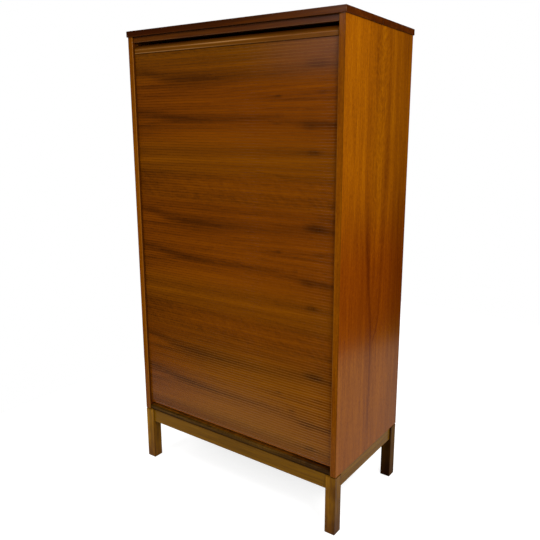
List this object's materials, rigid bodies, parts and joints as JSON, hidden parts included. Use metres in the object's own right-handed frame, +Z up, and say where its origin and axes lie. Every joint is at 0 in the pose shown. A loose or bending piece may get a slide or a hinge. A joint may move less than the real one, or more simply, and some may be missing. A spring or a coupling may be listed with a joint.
{
  "type": "tambour storage cabinet",
  "caption": "Tall wooden storage cabinet on a low leg frame, closed by a vertical slatted tambour shutter that slides down to open; shelves inside.",
  "frame": {"origin": "on the floor, under the middle of the cabinet", "axes": "+Z up; +X to the right of someone who faces the front; the front looks along -Y"},
  "size_m": [0.8066, 0.4136, 1.48],
  "materials": {
    "top_teak": "oiled teak veneer, satin, dark red-brown",
    "side_teak": "oiled teak veneer with vertical grain, satin, orange-brown",
    "rail_teak": "oiled solid teak, satin",
    "shutter_teak": "oiled teak veneer slats with horizontal grain, satin",
    "ledge_wood": "stained lipping and board, dull",
    "frame_wood": "oiled solid oak-coloured hardwood, dull satin",
    "inside_veneer": "plain lacquered veneer, satin",
    "back_ply": "thin plywood, matt",
    "block_wood": "unfinished beech",
    "wire_steel": "plated steel wire"
  },
  "bodies": {
    "carcass": {"top_panel": "top_teak", "side_panel_left": "side_teak", "side_panel_right": "side_teak", "top_front_rail": "rail_teak", "bottom_board": "ledge_wood", "back_panel": "back_ply", "inner_floor": "inside_veneer", "false_back": "inside_veneer", "shelf_1": "inside_veneer", "shelf_wire_1_left": "wire_steel", "shelf_wire_1_right": "wire_steel", "shelf_2": "inside_veneer", "shelf_wire_2_left": "wire_steel", "shelf_wire_2_right": "wire_steel", "shelf_3": "inside_veneer", "shelf_wire_3_left": "wire_steel", "shelf_wire_3_right": "wire_steel", "tambour_bend": "shutter_teak", "leg_front_left": "frame_wood", "corner_block_front_left": "block_wood", "leg_front_right": "frame_wood", "corner_block_front_right": "block_wood", "leg_back_left": "frame_wood", "corner_block_back_left": "block_wood", "leg_back_right": "frame_wood", "corner_block_back_right": "block_wood", "apron_front": "frame_wood", "apron_back": "frame_wood", "apron_left": "frame_wood", "apron_right": "frame_wood"},
    "lead_rail": {"tambour_lead_rail": "rail_teak"},
    "section_01": {"tambour_section_01": "shutter_teak"},
    "section_02": {"tambour_section_02": "shutter_teak"},
    "section_03": {"tambour_section_03": "shutter_teak"},
    "section_04": {"tambour_section_04": "shutter_teak"},
    "section_05": {"tambour_section_05": "shutter_teak"},
    "section_06": {"tambour_section_06": "shutter_teak"},
    "section_07": {"tambour_section_07": "shutter_teak"},
    "section_08": {"tambour_section_08": "shutter_teak"},
    "section_09": {"tambour_section_09": "shutter_teak"},
    "section_10": {"tambour_section_10": "shutter_teak"},
    "section_11": {"tambour_section_11": "shutter_teak"},
    "section_12": {"tambour_section_12": "shutter_teak"},
    "section_13": {"tambour_section_13": "shutter_teak"},
    "section_14": {"tambour_section_14": "shutter_teak"},
    "section_15": {"tambour_section_15": "shutter_teak"},
    "section_16": {"tambour_section_16": "shutter_teak"},
    "section_17": {"tambour_section_17": "shutter_teak"},
    "section_18": {"tambour_section_18": "shutter_teak"},
    "section_19": {"tambour_section_19": "shutter_teak"},
    "section_20": {"tambour_section_20": "shutter_teak"},
    "section_21": {"tambour_section_21": "shutter_teak"},
    "section_22": {"tambour_section_22": "shutter_teak"},
    "section_23": {"tambour_section_23": "shutter_teak"},
    "section_24": {"tambour_section_24": "shutter_teak"}
  },
  "joints": [
    {"name": "tambour_slide", "type": "slide", "parent": "carcass", "child": "lead_rail", "axis": [0, 0, -1], "range_m": [0, 1.1795]},
    {"name": "section_01_slide", "type": "slide", "parent": "carcass", "child": "section_01", "axis": [0, 0, -1], "range_m": [0, 0.02005], "deforming": ["tambour_section_01"]},
    {"name": "section_02_slide", "type": "slide", "parent": "carcass", "child": "section_02", "axis": [0, 0, -1], "range_m": [0, 0.06949], "deforming": ["tambour_section_02"]},
    {"name": "section_03_slide", "type": "slide", "parent": "carcass", "child": "section_03", "axis": [0, 0, -1], "range_m": [0, 0.11893], "deforming": ["tambour_section_03"]},
    {"name": "section_04_slide", "type": "slide", "parent": "carcass", "child": "section_04", "axis": [0, 0, -1], "range_m": [0, 0.16836], "deforming": ["tambour_section_04"]},
    {"name": "section_05_slide", "type": "slide", "parent": "carcass", "child": "section_05", "axis": [0, 0, -1], "range_m": [0, 0.2178], "deforming": ["tambour_section_05"]},
    {"name": "section_06_slide", "type": "slide", "parent": "carcass", "child": "section_06", "axis": [0, 0, -1], "range_m": [0, 0.26724], "deforming": ["tambour_section_06"]},
    {"name": "section_07_slide", "type": "slide", "parent": "carcass", "child": "section_07", "axis": [0, 0, -1], "range_m": [0, 0.31667], "deforming": ["tambour_section_07"]},
    {"name": "section_08_slide", "type": "slide", "parent": "carcass", "child": "section_08", "axis": [0, 0, -1], "range_m": [0, 0.36611], "deforming": ["tambour_section_08"]},
    {"name": "section_09_slide", "type": "slide", "parent": "carcass", "child": "section_09", "axis": [0, 0, -1], "range_m": [0, 0.41555], "deforming": ["tambour_section_09"]},
    {"name": "section_10_slide", "type": "slide", "parent": "carcass", "child": "section_10", "axis": [0, 0, -1], "range_m": [0, 0.46499], "deforming": ["tambour_section_10"]},
    {"name": "section_11_slide", "type": "slide", "parent": "carcass", "child": "section_11", "axis": [0, 0, -1], "range_m": [0, 0.51443], "deforming": ["tambour_section_11"]},
    {"name": "section_12_slide", "type": "slide", "parent": "carcass", "child": "section_12", "axis": [0, 0, -1], "range_m": [0, 0.56386], "deforming": ["tambour_section_12"]},
    {"name": "section_13_slide", "type": "slide", "parent": "carcass", "child": "section_13", "axis": [0, 0, -1], "range_m": [0, 0.6133], "deforming": ["tambour_section_13"]},
    {"name": "section_14_slide", "type": "slide", "parent": "carcass", "child": "section_14", "axis": [0, 0, -1], "range_m": [0, 0.66274], "deforming": ["tambour_section_14"]},
    {"name": "section_15_slide", "type": "slide", "parent": "carcass", "child": "section_15", "axis": [0, 0, -1], "range_m": [0, 0.71218], "deforming": ["tambour_section_15"]},
    {"name": "section_16_slide", "type": "slide", "parent": "carcass", "child": "section_16", "axis": [0, 0, -1], "range_m": [0, 0.76161], "deforming": ["tambour_section_16"]},
    {"name": "section_17_slide", "type": "slide", "parent": "carcass", "child": "section_17", "axis": [0, 0, -1], "range_m": [0, 0.81105], "deforming": ["tambour_section_17"]},
    {"name": "section_18_slide", "type": "slide", "parent": "carcass", "child": "section_18", "axis": [0, 0, -1], "range_m": [0, 0.86049], "deforming": ["tambour_section_18"]},
    {"name": "section_19_slide", "type": "slide", "parent": "carcass", "child": "section_19", "axis": [0, 0, -1], "range_m": [0, 0.90992], "deforming": ["tambour_section_19"]},
    {"name": "section_20_slide", "type": "slide", "parent": "carcass", "child": "section_20", "axis": [0, 0, -1], "range_m": [0, 0.95936], "deforming": ["tambour_section_20"]},
    {"name": "section_21_slide", "type": "slide", "parent": "carcass", "child": "section_21", "axis": [0, 0, -1], "range_m": [0, 1.0088], "deforming": ["tambour_section_21"]},
    {"name": "section_22_slide", "type": "slide", "parent": "carcass", "child": "section_22", "axis": [0, 0, -1], "range_m": [0, 1.05824], "deforming": ["tambour_section_22"]},
    {"name": "section_23_slide", "type": "slide", "parent": "carcass", "child": "section_23", "axis": [0, 0, -1], "range_m": [0, 1.10767], "deforming": ["tambour_section_23"]},
    {"name": "section_24_slide", "type": "slide", "parent": "carcass", "child": "section_24", "axis": [0, 0, -1], "range_m": [0, 1.15711], "deforming": ["tambour_section_24"]}
  ],
  "couplings": [
    {"joint": "section_01_slide", "follows": "tambour_slide", "ratio": 0.016956},
    {"joint": "section_02_slide", "follows": "tambour_slide", "ratio": 0.05887},
    {"joint": "section_03_slide", "follows": "tambour_slide", "ratio": 0.10078},
    {"joint": "section_04_slide", "follows": "tambour_slide", "ratio": 0.1427},
    {"joint": "section_05_slide", "follows": "tambour_slide", "ratio": 0.18461},
    {"joint": "section_06_slide", "follows": "tambour_slide", "ratio": 0.22653},
    {"joint": "section_07_slide", "follows": "tambour_slide", "ratio": 0.26844},
    {"joint": "section_08_slide", "follows": "tambour_slide", "ratio": 0.31035},
    {"joint": "section_09_slide", "follows": "tambour_slide", "ratio": 0.35227},
    {"joint": "section_10_slide", "follows": "tambour_slide", "ratio": 0.39418},
    {"joint": "section_11_slide", "follows": "tambour_slide", "ratio": 0.4361},
    {"joint": "section_12_slide", "follows": "tambour_slide", "ratio": 0.47801},
    {"joint": "section_13_slide", "follows": "tambour_slide", "ratio": 0.51992},
    {"joint": "section_14_slide", "follows": "tambour_slide", "ratio": 0.56184},
    {"joint": "section_15_slide", "follows": "tambour_slide", "ratio": 0.60375},
    {"joint": "section_16_slide", "follows": "tambour_slide", "ratio": 0.64567},
    {"joint": "section_17_slide", "follows": "tambour_slide", "ratio": 0.68758},
    {"joint": "section_18_slide", "follows": "tambour_slide", "ratio": 0.72949},
    {"joint": "section_19_slide", "follows": "tambour_slide", "ratio": 0.77141},
    {"joint": "section_20_slide", "follows": "tambour_slide", "ratio": 0.81332},
    {"joint": "section_21_slide", "follows": "tambour_slide", "ratio": 0.85523},
    {"joint": "section_22_slide", "follows": "tambour_slide", "ratio": 0.89715},
    {"joint": "section_23_slide", "follows": "tambour_slide", "ratio": 0.93906},
    {"joint": "section_24_slide", "follows": "tambour_slide", "ratio": 0.98098}
  ]
}
